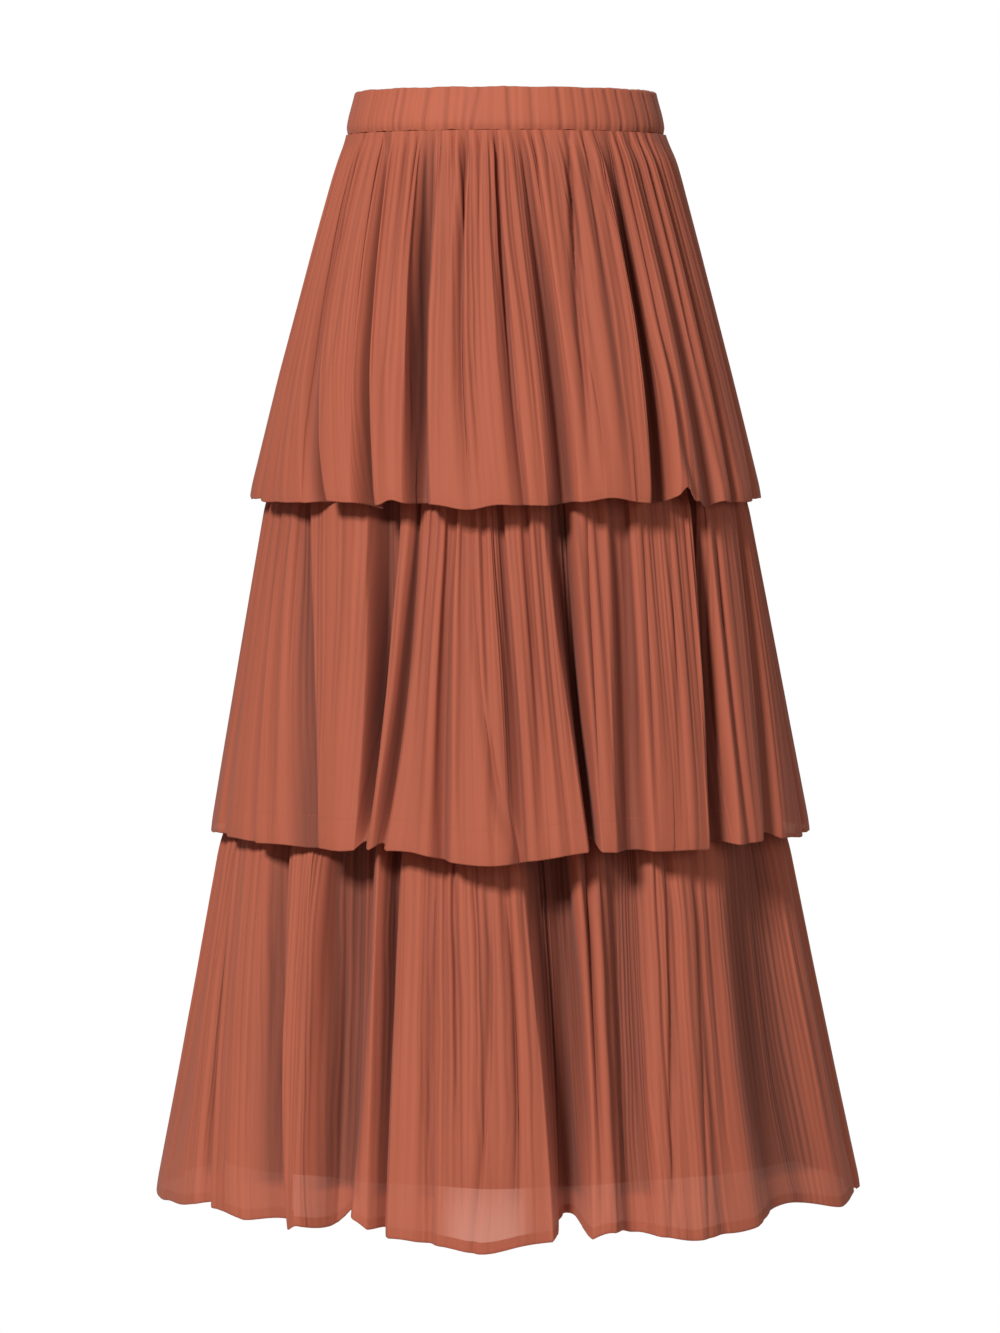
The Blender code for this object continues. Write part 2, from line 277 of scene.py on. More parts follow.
# ---- Tier 1 ------------------------------------------------------------------------------------
# The top ruffle: crinkle-pleated chiffon, a front and a back panel joined at the side seams, gathered
# into the waistband's lower edge, with a very narrow rolled hem.

# A fold is a valley from the seam to the hem, so many degrees round from the middle, towards +X, at the
# seam, halfway and at the hem. Its reach is its half width, and its depth is given at the same places.
# A lean moves its bottom sideways by that share of the reach. Flat is 0 for a round bottom and 1 for a
# flat one. The hem rises by lift.
Fold = namedtuple("Fold", "at_top at_mid at_hem reach_top reach_hem d_top d_mid d_hem lean lift flat")

# A swell is a soft panel between the valleys: it stands out, or dips where out is negative, between two
# shares of the way down, and its hem hangs lower by drop. Spread is how far its crinkles are pulled open,
# so that the cloth is a single clear layer there.
Swell = namedtuple("Swell", "at_top at_hem reach out drop from_v to_v spread", defaults=[0])

# Pleats are small ridges side by side: their mean width, their depth at the seam, halfway and at the hem,
# between which shares of the way down they fade out, and how sharp their ridges are.
Pleats = namedtuple("Pleats", "width d_top d_mid d_hem from_v to_v sharp")

COLUMNS, ROWS = 1180, 58
PINCH = 0.5                   # how far the walls of a valley close on each other
SEAM_CREASE = 1.2 * MM        # a side seam draws the cloth in by this much
SEAM_REACH = 2.5 * MM
TO_LINING = 2 * MM            # the cloth of a tier stays this far outside the lining
LEAST_ROOM = 0.4 * MM
FREE_ROOM = 0.6               # the share of that room in which a valley isn't flattened yet
ROOM_FOR_PLEATS = 8 * MM      # with less room than this the pleats are shallower
PLAIN_AT_SEAM = 14 * MM       # pleats fade out towards a side seam over this
WANDER, SMALL_WANDER = 3.0 * MM, 1.2 * MM
HEM_WAVE = 1.5 * MM
HEM_BEND, FACING_GAP = 0.5 * MM, 1.0 * MM     # the turned hem's lowest edge, and the cloth inside it
WIDE_GATHERS, GATHERS = in_metres(Pleats, [
    # width d_top d_mid d_hem from, to  sharp
    (33,    2.4,  3.2,  2.2,  0.8, 1.4, 1.0),
    (14,    2.2,  1.7,  0.8,  0.3, 1.2, 0.9)])
FULL_SHADE_DEPTH = 22 * MM         # a valley this deep gets the darkest painted shade, in tiers 1 and 2


def through(top, mid, hem, v):
    """The smooth curve through a value at the seam (v 0), halfway and at the hem (v 1)."""
    return top * (1 - v) * (1 - 2 * v) + mid * 4 * v * (1 - v) + hem * v * (2 * v - 1)


def eased(x, low, high):
    """A smooth step from 0 at low to 1 at high."""
    t = np.clip((x - low) / (high - low), 0, 1)
    return t * t * (3 - 2 * t)


def pleated(pleats, q, v, length, seed):
    """Small irregular pleats across the cloth, as a depth to move it along its normal.

    The cloth's length is cut into pleats of uneven width. Each one is a rounded ridge, sin(pi t) to the
    power 2 * sharp, with its own strength, and it fades at its own height.
    """
    rng = np.random.default_rng(seed)
    count = int(length / pleats.width)
    edges = np.concatenate([[0], np.cumsum(rng.uniform(0.55, 1.5, count))])
    edges *= length / edges[-1]
    which = np.clip(np.searchsorted(edges, q, side="right") - 1, 0, count - 1)
    t = np.clip((q - edges[which]) / (edges[which + 1] - edges[which]), 0, 1)
    strength = rng.uniform(0.35, 1.25, count)[which]
    fading = rng.uniform(pleats.from_v, pleats.to_v, count)[which]
    depth = through(pleats.d_top, pleats.d_mid, pleats.d_hem, v)
    left = 1 - 0.8 * eased(v, fading - 0.16, fading + 0.16)
    return depth * left * strength * (np.sin(math.pi * t) ** (2 * pleats.sharp) - 0.55)


def fold_shape(fold, t):
    """A valley's depth, 0 to 1, and the sideways share, across t from -1 to 1."""
    bump = (1 + np.cos(math.pi * t)) / 2
    flat = 1 - (1 - bump) ** 3
    bump = bump + (flat - bump) * fold.flat
    return bump, fold.lean * bump - PINCH * (1 - 0.6 * fold.flat) * np.sin(math.pi * t) / math.pi


class Tier:
    """One half of a tier: its sections, folds, puckers and swells, and the cloth laid over them.

    Folds hold the columns of the cloth in place, and puckers are short folds at the seam that don't. A
    valley as deep as full_hollow gets the darkest painted shade.
    """

    def __init__(self, sections, folds, puckers, swells, side, full_hollow):
        self.sections, self.puckers, self.swells, self.side = sections, puckers, swells, side
        self.full_hollow = full_hollow
        self.top, self.hem = sections[0].z, sections[-1].z
        self.folds = sorted(folds, key=lambda fold: side * fold.at_hem)

    def frame_at(self, v):
        """The section's ellipse at each share v of the way down."""
        return sections_at(self.sections, self.top + (self.hem - self.top) * v)

    def lines_of(self, folds, v):
        """Centre, reach as an angle, depth and reach of each fold, all row by row."""
        width, depth, _ = self.frame_at(v)
        for fold in folds:
            centre = self.side * through(fold.at_top, fold.at_mid, fold.at_hem, v)[:, None]
            speed = np.hypot(width * np.cos(centre), depth * np.sin(centre))
            reach = (fold.reach_top + (fold.reach_hem - fold.reach_top) * v)[:, None]
            deep = np.maximum(through(fold.d_top, fold.d_mid, fold.d_hem, v), 0)[:, None]
            yield fold, centre, reach / speed, deep, reach

    def anchors(self, v):
        """Angles at the side seams and at the bottom of every fold, a row for each v."""
        end = np.full((len(v), 1), math.pi / 2)
        columns = [-end] + [centre for _, centre, _, _, _ in self.lines_of(self.folds, v)] + [end]
        return np.maximum.accumulate(np.concatenate(columns, axis=1), axis=1)

    def room_inside(self, angle, v):
        """How far the cloth may go in before it would lie on the lining, TO_LINING away from it."""
        z = self.top + (self.hem - self.top) * v
        width, depth, _ = self.frame_at(v)
        lining_width, lining_depth, _ = sections_at(LINING, z)
        return np.maximum((width - lining_width) * np.sin(angle) ** 2
                          + (depth - lining_depth) * np.cos(angle) ** 2 - TO_LINING, LEAST_ROOM)

    def draped(self, angle, v):
        """The folded cloth: the ellipse, moved in along its normal and sideways by each fold it meets.

        Also returns the painted shade of each point, 0 on the ridges and 1 deep in a valley, and how far
        its crinkles are spread. A valley that would reach the lining is pressed flat against it.
        """
        width, depth, shift = self.frame_at(v)
        point, normal, along, speed = on_ellipse(angle, width, depth, shift, self.side)
        out, sideways, rise, hollow, spread = (np.zeros(angle.shape) for _ in range(5))
        down = v[:, None]
        for fold, centre, reach, deep, length in self.lines_of(self.folds + self.puckers, v):
            bump, across = fold_shape(fold._replace(lean=fold.lean * self.side),
                                      np.clip((angle - centre) / reach, -1, 1))
            out -= deep * bump
            sideways += length * across * np.clip(deep / (0.6 * length), 0, 1)
            rise += fold.lift * bump * down ** 5
            # Painted shade: the deeper the valley, the darker, up to the tier's depth for the darkest
            # shade.
            darkest = np.clip(deep / self.full_hollow, 0, 1) ** 0.8
            hollow = np.maximum(hollow, eased(bump, 0.08, 0.75) * darkest)
        for swell in self.swells:
            centre = self.side * (swell.at_top + (swell.at_hem - swell.at_top) * down)
            t = np.clip((angle - centre) * np.hypot(width * np.cos(centre), depth * np.sin(centre))
                        / swell.reach, -1, 1)
            bump = (1 + np.cos(math.pi * t)) / 2
            here = eased(down, swell.from_v - 0.12, swell.from_v + 0.12) \
                * (1 - eased(down, swell.to_v - 0.12, swell.to_v + 0.12))
            out += swell.out * bump * here
            rise -= swell.drop * bump * down ** 5
            spread = np.maximum(spread, swell.spread * (1 - (1 - bump) ** 3) * here)
        out -= SEAM_CREASE * np.exp(-((math.pi / 2 - np.abs(angle)) * speed / SEAM_REACH) ** 2)
        room = self.room_inside(angle, v)
        over = np.maximum(-out / room - FREE_ROOM, 0)
        pressed = FREE_ROOM + (1 - FREE_ROOM) * np.tanh(over / (1 - FREE_ROOM))
        out = np.where(over > 0, -room * pressed, out)
        flat = point + normal * out[..., None] + along * sideways[..., None]
        z = (self.top + (self.hem - self.top) * v)[:, None] + rise
        return np.dstack([flat, z]), hollow, spread

    def rows(self, turn):
        """Shares of the way down, closer together at the seam and the hem, with three in the turned hem."""
        s = np.linspace(0, 1, ROWS - 3)
        v = s - 0.07 * np.sin(2 * math.pi * s)
        return np.concatenate([v[v < 1 - turn * 1.2], 1 - turn * np.array([1, 0.6, 0.25]), [1.0]])

    def columns(self, v):
        """Lengths q along the hem, and the angle of each column at every v.

        Columns lie at even lengths of cloth along the hem, and every column keeps its place between the
        same two folds all the way up.
        """
        last = np.array([1.0])
        fine = np.linspace(-math.pi / 2, math.pi / 2, 6000)[None, :]
        steps = np.linalg.norm(np.diff(self.draped(fine, last)[0][0], axis=0), axis=1)
        lengths = np.concatenate([[0], np.cumsum(steps)])
        q = np.linspace(0, lengths[-1], COLUMNS)
        at_hem, hem_anchors = np.interp(q, lengths, fine[0]), self.anchors(last)[0]
        return q[None, :], np.array([np.interp(at_hem, hem_anchors, row) for row in self.anchors(v)])

    def pleats_of(self, crinkle, q, v, spread, seed):
        """The depth of all pleats at each point, and the painted shade in the creases between them.

        Pleats of three sizes wander a little sideways. The crinkle comes and goes in soft patches, and it
        is shallower where the cloth is spread.
        """
        total, down = q.max(), v[:, None]
        inside = eased(np.minimum(q, total - q), 0, PLAIN_AT_SEAM)
        wander = (WANDER * ripple(q * 3, down * 0.8, seed)
                  + SMALL_WANDER * ripple(q * 11, down * 1.7, seed + 1))
        place = np.clip(q + wander * inside, 0, total)
        patches = 0.45 + 0.55 * eased(ripple(q * 4, down * 0.7, seed + 6), -0.4, 0.5)
        wide = pleated(WIDE_GATHERS, place, down, total, seed + 2)
        middle = pleated(GATHERS, place, down, total, seed + 3)
        small = pleated(crinkle, place, down, total, seed + 4) * patches * (1 - 0.7 * spread)
        # Painted shade in the creases between pleats, deeper creases darker.
        crease_shade = sum(np.clip(-depth / full, 0, 1) * share for depth, full, share in (
            (small, 0.5 * MM, 0.34), (middle, 1.5 * MM, 0.32), (wide, 3 * MM, 0.25)))
        return wide + middle + small, crease_shade, small, inside

    def cloth(self, crinkle, hem_depth, smooth_hem, seed):
        """The finished half tier, its cloth lengths as UV, and its shares of painted hollow shade and
        spread.

        The folded cloth moves along its normal by its pleats, which fade out at the gathered seam, at the
        side seams and where it lies close to the lining. The last rows turn under the hem and go up
        inside it. The creases between pleats get painted shade too, less near the hem by smooth_hem, and
        the painted shade fades where the cloth hangs below the lining.
        """
        height = self.top - self.hem
        v = self.rows(hem_depth / height)
        q, angle = self.columns(v)
        down = v[:, None]
        points, hollow, spread = self.draped(angle, v)
        depth, crease_shade, small, inside = self.pleats_of(crinkle, q, v, spread, seed)
        free = np.clip(self.room_inside(angle, v) / ROOM_FOR_PLEATS, 0.15, 1)
        here = inside * eased(down, -0.05, 0.05) * free * (0.6 + 0.4 * np.cos(angle))
        points = points + surface_normals(points) * (depth * here)[..., None]
        crease_shade = crease_shade * (1 - smooth_hem * eased(down, 0.6, 0.95))
        # Painted shade in the valleys: a little lighter on the crinkle's ridges.
        hollow = hollow * (1 - 0.3 * eased(small, -0.4 * MM, 0.3 * MM))
        hollow = np.clip(hollow + crease_shade * here, 0, 1)
        # The painted shade fades where the cloth hangs below the lining, which lets light through from
        # behind.
        below_lining = eased(-points[..., 2], -LINING_BOTTOM - 2 * MM, -LINING_BOTTOM + 5 * MM)
        hollow *= 1 - 0.75 * below_lining
        points[..., 2] += HEM_WAVE * ripple(q * 6, 0, seed + 5) * down ** 6
        normals = surface_normals(points)
        under = points[-1:] - normals[-1:] * HEM_BEND
        under[..., 2] -= HEM_BEND
        facing = points[:-5:-1] - normals[:-5:-1] * FACING_GAP
        lengths = np.concatenate([v * height, height + hem_depth * np.array([0.05, 0.1, 0.35, 0.7, 1.1])])
        uv = np.dstack(np.broadcast_arrays(q, lengths[:, None]))
        shares = {name: np.concatenate([share, share[-1:], share[:-5:-1]])
                  for name, share in (("hollow", hollow), ("spread", spread))}
        return np.concatenate([points, under, facing]), uv, shares


# The colour of the painted shade deep in valleys and creases, partly standing for the cloth lying doubled
# there.
HOLLOW_SHADE_COLOUR = (0.17, 0.052, 0.034, 1)
THROUGH_CLOTH = (1.0, 0.6, 0.5, 1)
STREAKS, BANDS, GRAIN = (340, 7, 1), (95, 5, 1), (2600, 1800, 1)    # waves a metre, along and down
STITCH, STITCH_HALF_WIDTH, STITCH_SHARE = 3.2 * MM, 0.6 * MM, 0.68


def chiffon_finish(name, light, shade, see_through, spread_clear, glow, stitch_v, tint):
    """Crinkle chiffon: streaked along its pleats, with painted shade darkening its hollows and creases,
    partly standing for the cloth lying folded double there.

    A fine crepe grain covers it, light passes through it, more where the crinkles are spread, and a row
    of short stitches lies across the cloth at the length stitch_v down it.
    """
    finish = Finish(name)
    cloth = finish.node("ShaderNodeUVMap", {"uv_map": "cloth"})
    place = finish.node("ShaderNodeTexCoord", output=3)
    hollow = finish.node("ShaderNodeAttribute", {"attribute_name": "hollow"}, output=2)
    spread = finish.node("ShaderNodeAttribute", {"attribute_name": "spread"}, output=2)
    streaks = finish.noise(cloth, 1.0, STREAKS, 3.0)
    bands = finish.noise(cloth, 1.0, BANDS, 2.0)
    dyeing = finish.noise(place, 7.0, detail=3.0)
    grain = finish.noise(cloth, 1.0, GRAIN, 1.0)
    across = finish.node("ShaderNodeSeparateXYZ", {}, {0: cloth}, output=0)
    down = finish.node("ShaderNodeSeparateXYZ", {}, {0: cloth}, output=1)
    row = 1 - (down - stitch_v).maths("ABSOLUTE").maths("GREATER_THAN", STITCH_HALF_WIDTH)
    stitch = row * (across * (1 / STITCH)).maths("FRACT").maths("LESS_THAN", STITCH_SHARE)
    tone = streaks * 0.42 + bands * 0.3 + dyeing * 0.28
    colour = finish.mixed((tone - 0.5) * 2.2 + 0.5, shade, light)
    # Painted shade: darker in the valleys and creases, by the share kept on each point.
    colour = finish.mixed(hollow * (streaks * -0.5 + 1.12), colour, HOLLOW_SHADE_COLOUR)
    colour = finish.mixed(stitch * 0.4, colour, shade)
    height = grain * 0.35 + streaks * 0.5 + stitch * -0.6
    surface = finish.node("ShaderNodeBump", {}, {"Strength": 0.35, "Distance": 0.0004, "Height": height})
    shader = finish.node("ShaderNodeBsdfPrincipled", {}, {
        "Base Color": colour, "Roughness": streaks * 0.1 + 0.68, "Normal": surface,
        "Sheen Weight": 0.12, "Sheen Roughness": 0.45, "Specular IOR Level": 0.25})
    passing = finish.node("ShaderNodeBsdfTranslucent", {}, {"Color": tint, "Normal": surface})
    body = finish.node("ShaderNodeMixShader", {}, {0: glow, 1: shader, 2: passing})
    clear = finish.node("ShaderNodeBsdfTransparent", {}, {"Color": THROUGH_CLOTH})
    open_share = spread * spread_clear + see_through
    whole = finish.node("ShaderNodeMixShader", {}, {0: open_share, 1: body, 2: clear})
    finish.node("ShaderNodeOutputMaterial", {}, {"Surface": whole})
    return finish.material


TIER_1_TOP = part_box("tier_1_back")[1].z
TIER_1_HEM = -317.5 * MM
ROLLED_HEM = 3 * MM
TIER_1 = in_metres(Section, [
    # z             half_width half_depth shift
    (TIER_1_TOP / MM, 130.6,   97,    0),
    (-32,           137.6,     104,   1.6),
    (-110,          159,       124,   0.8),
    (-215,          187,       151,   0),
    (TIER_1_HEM / MM, 212.8,   176,   0)])
TIER_1_FOLDS = {FRONT: in_metres(Fold, [
    # at: top, mid, hem   reach   depth       lean  lift  flat
    (-80, -80, -74,       4, 13,  1, 4, 6,    0.0,  1,    0),
    (-62, -61, -47,       5, 15,  4, 18, 25,  0.3,  0,    0.4),
    (-47.5, -41, -32.8,   6, 12,  9, 21, 26,  0.3,  -4,   0.5),
    (-28.5, -24, -19.6,   8, 13,  4, 30, 21,  0.1,  -1,   0.7),
    (-4.6, -1, 3,         5, 11,  5, 11, 9,   0.4,  0,    0),
    (3.2, 10, 12.7,       8, 15,  5, 18, 23,  0.2,  0,    0.4),
    (37, 40, 37,          8, 15,  6, 26, 28,  0.1,  1,    0.7),
    (48, 53, 52.5,        5, 18,  5, 9, 13,   0.3,  -5,   0.3),
    (60, 64, 63,          5, 14,  3, 8, 10,   0.2,  0,    0),
    (72, 79, 76,          5, 13,  1, 5, 7,    0.0,  1,    0)]),
    BACK: in_metres(Fold, [
    (-82, -80, -77,       5, 14,  1, 5, 7,    0.0,  1,    0),
    (-69, -66, -61,       5, 15,  2, 6, 9,    0.2,  1,    0),
    (-53, -49, -44,       6, 17,  3, 14, 18,  0.2,  4,    0),
    (-36, -32, -29,       7, 17,  3, 18, 23,  -0.3, 3,    0.2),
    (-21, -18, -14,       6, 13,  3, 12, 6,   0.0,  0,    0),
    (-7, -6, -4,          7, 18,  4, 20, 25,  0.3,  5,    0),
    (8, 7, 8,             6, 14,  3, 9, 12,   0.0,  1,    0),
    (22, 21, 20.5,        7, 18,  3, 19, 24,  -0.2, 4,    0.2),
    (36, 34.5, 33,        6, 15,  3, 11, 8,   0.0,  1,    0),
    (53, 50, 46.5,        6, 16,  3, 13, 16,  0.3,  5,    0),
    (68, 66, 62,          6, 14,  2, 7, 9,    0.0,  1,    0),
    (82, 79, 76,          5, 15,  1, 5, 8,    0.0,  2,    0)])}
TIER_1_PUCKERS = {FRONT: in_metres(Fold, [
    # at: top, mid, hem   reach   depth       lean  lift  flat
    (-55, -52, -50,       4, 8,   3, 1, 0,    0.3,  0,    0),
    (-38, -34, -30,       4, 8,   4, 1.5, 0,  0.3,  0,    0),
    (-33, -30, -27,       4, 8,   3, 0, 0,    0.0,  0,    0),
    (-24.5, -21, -18,     4, 9,   4, 0, 0,    0.3,  0,    0),
    (-19, -17, -15,       4, 8,   2.5, 0, 0,  0.0,  0,    0),
    (-15, -13, -8,        5, 10,  6, 9, 2,    0.3,  0,    0),
    (-10, -8, -5,         4, 9,   4, 2, 0,    0.3,  0,    0),
    (8.5, 13, 17,         4, 9,   4, 3, 0,    0.3,  0,    0),
    (13, 16, 19,          4, 8,   3, 0, 0,    0.0,  0,    0),
    (22, 19.5, 19.3,      5, 9,   6, 6, 0,    0.2,  0,    0),
    (28, 29, 29,          4, 8,   3, 1, 0,    0.0,  0,    0),
    (33, 33, 32,          4, 8,   3, 0, 0,    0.0,  0,    0),
    (42, 45, 44,          4, 8,   4, 3, 0,    0.3,  0,    0),
    (54, 58, 58,          4, 8,   3, 2, 0,    0.0,  0,    0)]),
    BACK: in_metres(Fold, [
    (-61, -58, -54,       4, 8,   3, 1, 0,    0.0,  0,    0),
    (-44, -41, -38,       4, 9,   4, 2, 0,    0.3,  0,    0),
    (-29, -26, -23,       4, 8,   4, 0, 0,    0.0,  0,    0),
    (-14, -12, -10,       4, 9,   4, 2, 0,    0.3,  0,    0),
    (0, 1, 2,             4, 8,   3, 0, 0,    0.0,  0,    0),
    (15, 14, 14,          4, 9,   4, 2, 0,    -0.3, 0,    0),
    (30, 28, 27,          4, 8,   3, 1, 0,    0.0,  0,    0),
    (45, 42, 39,          4, 9,   4, 2, 0,    0.3,  0,    0),
    (60, 58, 54,          4, 8,   3, 0, 0,    0.0,  0,    0)])}
TIER_1_SWELLS = {FRONT: in_metres(Swell, [
    # at: top, hem  reach  out  drop  from, to
    (-22, -9,       36,    2,   4,    0.5, 2),
    (-38, -25.5,    14,    3,   -4,   0.6, 2),
    (24, 25,        40,    2,   -4,   0.5, 2),
    (44, 43,        13,    4,   -13,  0.6, 2)]),
    BACK: in_metres(Swell, [
    (-28, -21.5,    18,    2,   3,    0.5, 2),
    (14, 14.5,      16,    2,   -6,   0.6, 2),
    (44, 40,        20,    1,   3,    0.5, 2)])}

CRINKLE, = in_metres(Pleats, [
    # width d_top d_mid d_hem from, to  sharp
    (5.6,   0.7,  0.75, 0.1,  0.6, 1.15, 0.7)])
SMOOTH_HEM = 0.8              # how much fainter the painted shade in the crinkle's creases is near the hem
RUST, RUST_SHADE = (0.53, 0.136, 0.074, 1), (0.44, 0.108, 0.058, 1)
chiffon = chiffon_finish("crinkle chiffon", RUST, RUST_SHADE, see_through=0.03, spread_clear=0, glow=0.1,
                         stitch_v=TIER_1_TOP - TIER_1_HEM - ROLLED_HEM, tint=(0.55, 0.14, 0.07, 1))
for node, side, seed in (("tier_1_front", FRONT, 11), ("tier_1_back", BACK, 21)):
    half = Tier(TIER_1, TIER_1_FOLDS[side], TIER_1_PUCKERS[side], TIER_1_SWELLS[side], side, FULL_SHADE_DEPTH)
    points, uv, shares = half.cloth(CRINKLE, ROLLED_HEM, SMOOTH_HEM, seed)
    ruffle = add_piece(node + "_cloth", points, uv, chiffon, **shares)
    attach(ruffle, "root")
    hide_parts(node)

# ---- Tier 2 ------------------------------------------------------------------------------------
# The middle ruffle: the same chiffon, cut wider, gathered onto the lining just above the top tier's hem
# so that the seam is hidden, with the same rolled hem.
TIER_2_HEM = -592.5 * MM
TIER_2 = in_metres(Section, [
    (TIER_2_SEAM / MM, 178,    120,   0),
    (TIER_1_HEM / MM, 199,     143,   1),
    (-410,          216,       167,   2),
    (-500,          232.5,     190,   3),
    (TIER_2_HEM / MM, 249.8,   215,   4)])
TIER_2_FOLDS = {FRONT: in_metres(Fold, [
    # at: top, mid, hem   reach   depth       lean  lift  flat
    (-80, -79, -72,       5, 14,  0, 4, 6,    0.0,  0,    0),
    (-68, -65, -58,       5, 12,  0, 5, 6,    0.2,  0,    0),
    (-61, -51, -44,       12, 26, 0, 21, 20,  0.6,  0,    0.4),
    (-30.5, -28, -28.6,   18, 6,  0, 46, 8,   0.1,  6,    0.7),
    (-21.5, -21.5, -25,   8, 8,   0, 14, 11,  0.2,  4,    0.2),
    (-12, -13, -12.6,     6, 13,  0, 7, 9,    0.0,  0,    0),
    (-3.1, -0.5, 1.1,     7, 16,  0, 11, 9,   0.3,  0,    0.2),
    (11, 13.6, 15.6,      17, 6,  0, 38, 28,  0.3,  8,    0.6),
    (28, 25.5, 23.6,      13, 17, 0, 14, 16,  0.1,  0,    0.9),
    (51.5, 48, 43.8,      9, 18,  0, 28, 26,  0.3,  2,    0.6),
    (60, 54, 51,          5, 9,   0, 5, 3,    0.2,  0,    0),
    (74, 67, 59,          9, 17,  0, 9, 11,   0.2,  6,    0.4),
    (84, 82, 78,          5, 13,  0, 5, 8,    0.0,  1,    0)]),
    BACK: in_metres(Fold, [
    (-82, -80, -78,       6, 16,  0, 6, 9,    0.0,  1,    0),
    (-68, -66, -64,       6, 16,  0, 8, 10,   0.2,  2,    0),
    (-51, -48, -47,       7, 17,  0, 17, 20,  0.2,  6,    0.2),
    (-36, -34, -33,       7, 15,  0, 12, 9,   0.0,  0,    0),
    (-22, -20.5, -20.5,   8, 18,  0, 26, 27,  -0.3, 9,    0.2),
    (-10, -9.5, -9,       6, 12,  0, 9, 6,    0.0,  0,    0),
    (3, 2, 2.5,           8, 15,  0, 24, 26,  0.2,  8,    0.2),
    (15, 13, 11.5,        6, 13,  0, 10, 12,  0.0,  1,    0),
    (28, 26, 24.5,        8, 18,  0, 25, 24,  0.3,  9,    0.2),
    (44, 41, 39,          7, 17,  0, 14, 16,  0.0,  3,    0),
    (60, 57, 55.5,        6, 15,  0, 10, 13,  0.0,  3,    0),
    (76, 74, 73,          6, 16,  0, 7, 9,    0.0,  1,    0)])}
TIER_2_PUCKERS = {FRONT: in_metres(Fold, [
    # at: top, mid, hem   reach   depth       lean  lift  flat
    (-8.3, -7, 0.1,       5, 7,   0, 3, 3,    0.4,  0,    0),
    (2.7, 5, 5,           5, 9,   0, 3, 1,    0.2,  0,    0),
    (-16, -17, -18,       4, 8,   0, 3, 1,    0.0,  0,    0),
    (19, 18, 17,          4, 8,   0, 5, 0,    0.0,  0,    0),
    (34, 31, 28,          4, 8,   0, 3, 0,    0.0,  0,    0),
    (42, 38, 34,          4, 8,   0, 3, 0,    0.0,  0,    0)]),
    BACK: in_metres(Fold, [
    (-29, -27, -26,       4, 9,   0, 4, 1,    0.2,  0,    0),
    (-15, -15, -15,       5, 9,   0, 5, 2,    0.0,  0,    0),
    (8, 8, 7,             4, 8,   0, 4, 1,    0.0,  0,    0),
    (35, 33, 31,          5, 9,   0, 5, 2,    0.2,  0,    0)])}
TIER_2_SWELLS = {FRONT: in_metres(Swell, [
    (-6.5, -4,      84,    8,   8,    0.3, 2),
    (-38, -33,      22,    3,   1,    0.3, 2),
    (-25, -25.5,    9,     4,   -2,   0.3, 2)]),
    BACK: in_metres(Swell, [
    (-16, -14.5,    60,    5,   4,    0.3, 2),
    (21, 18,        60,    5,   4,    0.3, 2)])}

for node, side, seed in (("tier_2_front", FRONT, 31), ("tier_2_back", BACK, 41)):
    half = Tier(TIER_2, TIER_2_FOLDS[side], TIER_2_PUCKERS[side], TIER_2_SWELLS[side], side, FULL_SHADE_DEPTH)
    points, uv, shares = half.cloth(CRINKLE, ROLLED_HEM, SMOOTH_HEM, seed)
    ruffle = add_piece(node + "_cloth", points, uv, chiffon, **shares)
    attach(ruffle, "root")
    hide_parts(node)

# ---- Tier 3 ------------------------------------------------------------------------------------
# The bottom ruffle: the widest, gathered onto the lining under the middle tier. It hangs past the
# lining, so it is sheer there, and its turned hem shows as a darker double band with a row of stitches.
TIER_3_HEM = -896.5 * MM
TURNED_HEM = 8 * MM
TIER_3_FULL_SHADE_DEPTH = 28 * MM       # its broad recesses get lighter painted shade than the narrow valleys above
TIER_3 = in_metres(Section, [
    (TIER_3_SEAM / MM, 214,    149,   0),
    (-600,          235.5,     186,   -1),
    (-700,          255,       204,   0),
    (-800,          275,       227,   1),
    (TIER_3_HEM / MM, 294.7,   249,   2)])
TIER_3_FOLDS = {FRONT: in_metres(Fold, [
    # at: top, mid, hem   reach   depth       lean  lift  flat
    (-74, -66, -57.5,     8, 13,  8, 14, 19,  0.3,  3,    0.2),
    (-54, -48.5, -41.5,   18, 25, 12, 23, 22, 0.3,  5,    0.6),
    (-36, -32.5, -29.5,   25, 24, 34, 36, 29, 0.1,  3,    0.9),
    (-23.3, -22.2, -20.8, 10, 9,  22, 25, 17, 0.3,  5,    0.3),
    (-14, -13.2, -12.5,   6, 12,  0, 8, 6,    0.2,  0,    0),
    (-1.8, 1.4, 1,        6, 13,  0, 8, 0,    0.0,  0,    0),
    (8, 10, 10,           26, 16, 34, 50, 42, 0.1,  16,   0.8),
    (25, 22.5, 20.6,      26, 20, 14, 17, 17, 0.0,  3,    0.9),
    (63, 57.5, 56.3,      44, 65, 16, 22, 21, 0.0,  9,    0.9),
    (82, 81, 80,          6, 14,  0, 6, 9,    0.0,  2,    0)]),
    BACK: in_metres(Fold, [
    (-82, -80, -78,       6, 20,  0, 9, 13,   0.0,  4,    0),
    (-65, -63, -60,       7, 20,  0, 12, 16,  0.0,  7,    0),
    (-47, -44, -42,       7, 18,  0, 16, 18,  0.2,  9,    0.3),
    (-31, -29, -27.5,     8, 20,  0, 26, 30,  -0.2, 16,   0.5),
    (-17, -16, -15.5,     7, 15,  0, 12, 12,  0.0,  3,    0),
    (-6, -5, -5.5,        9, 19,  0, 30, 36,  0.3,  18,   0.5),
    (7, 7, 6,             7, 16,  0, 14, 12,  0.0,  4,    0),
    (19, 18.5, 18,        9, 20,  0, 30, 33,  -0.3, 17,   0.4),
    (33, 32, 30.5,        8, 19,  0, 18, 21,  0.0,  10,   0.3),
    (52, 50, 48.5,        8, 21,  0, 15, 18,  0.2,  9,    0.3),
    (72, 70, 68,          7, 20,  0, 10, 14,  0.0,  5,    0)])}
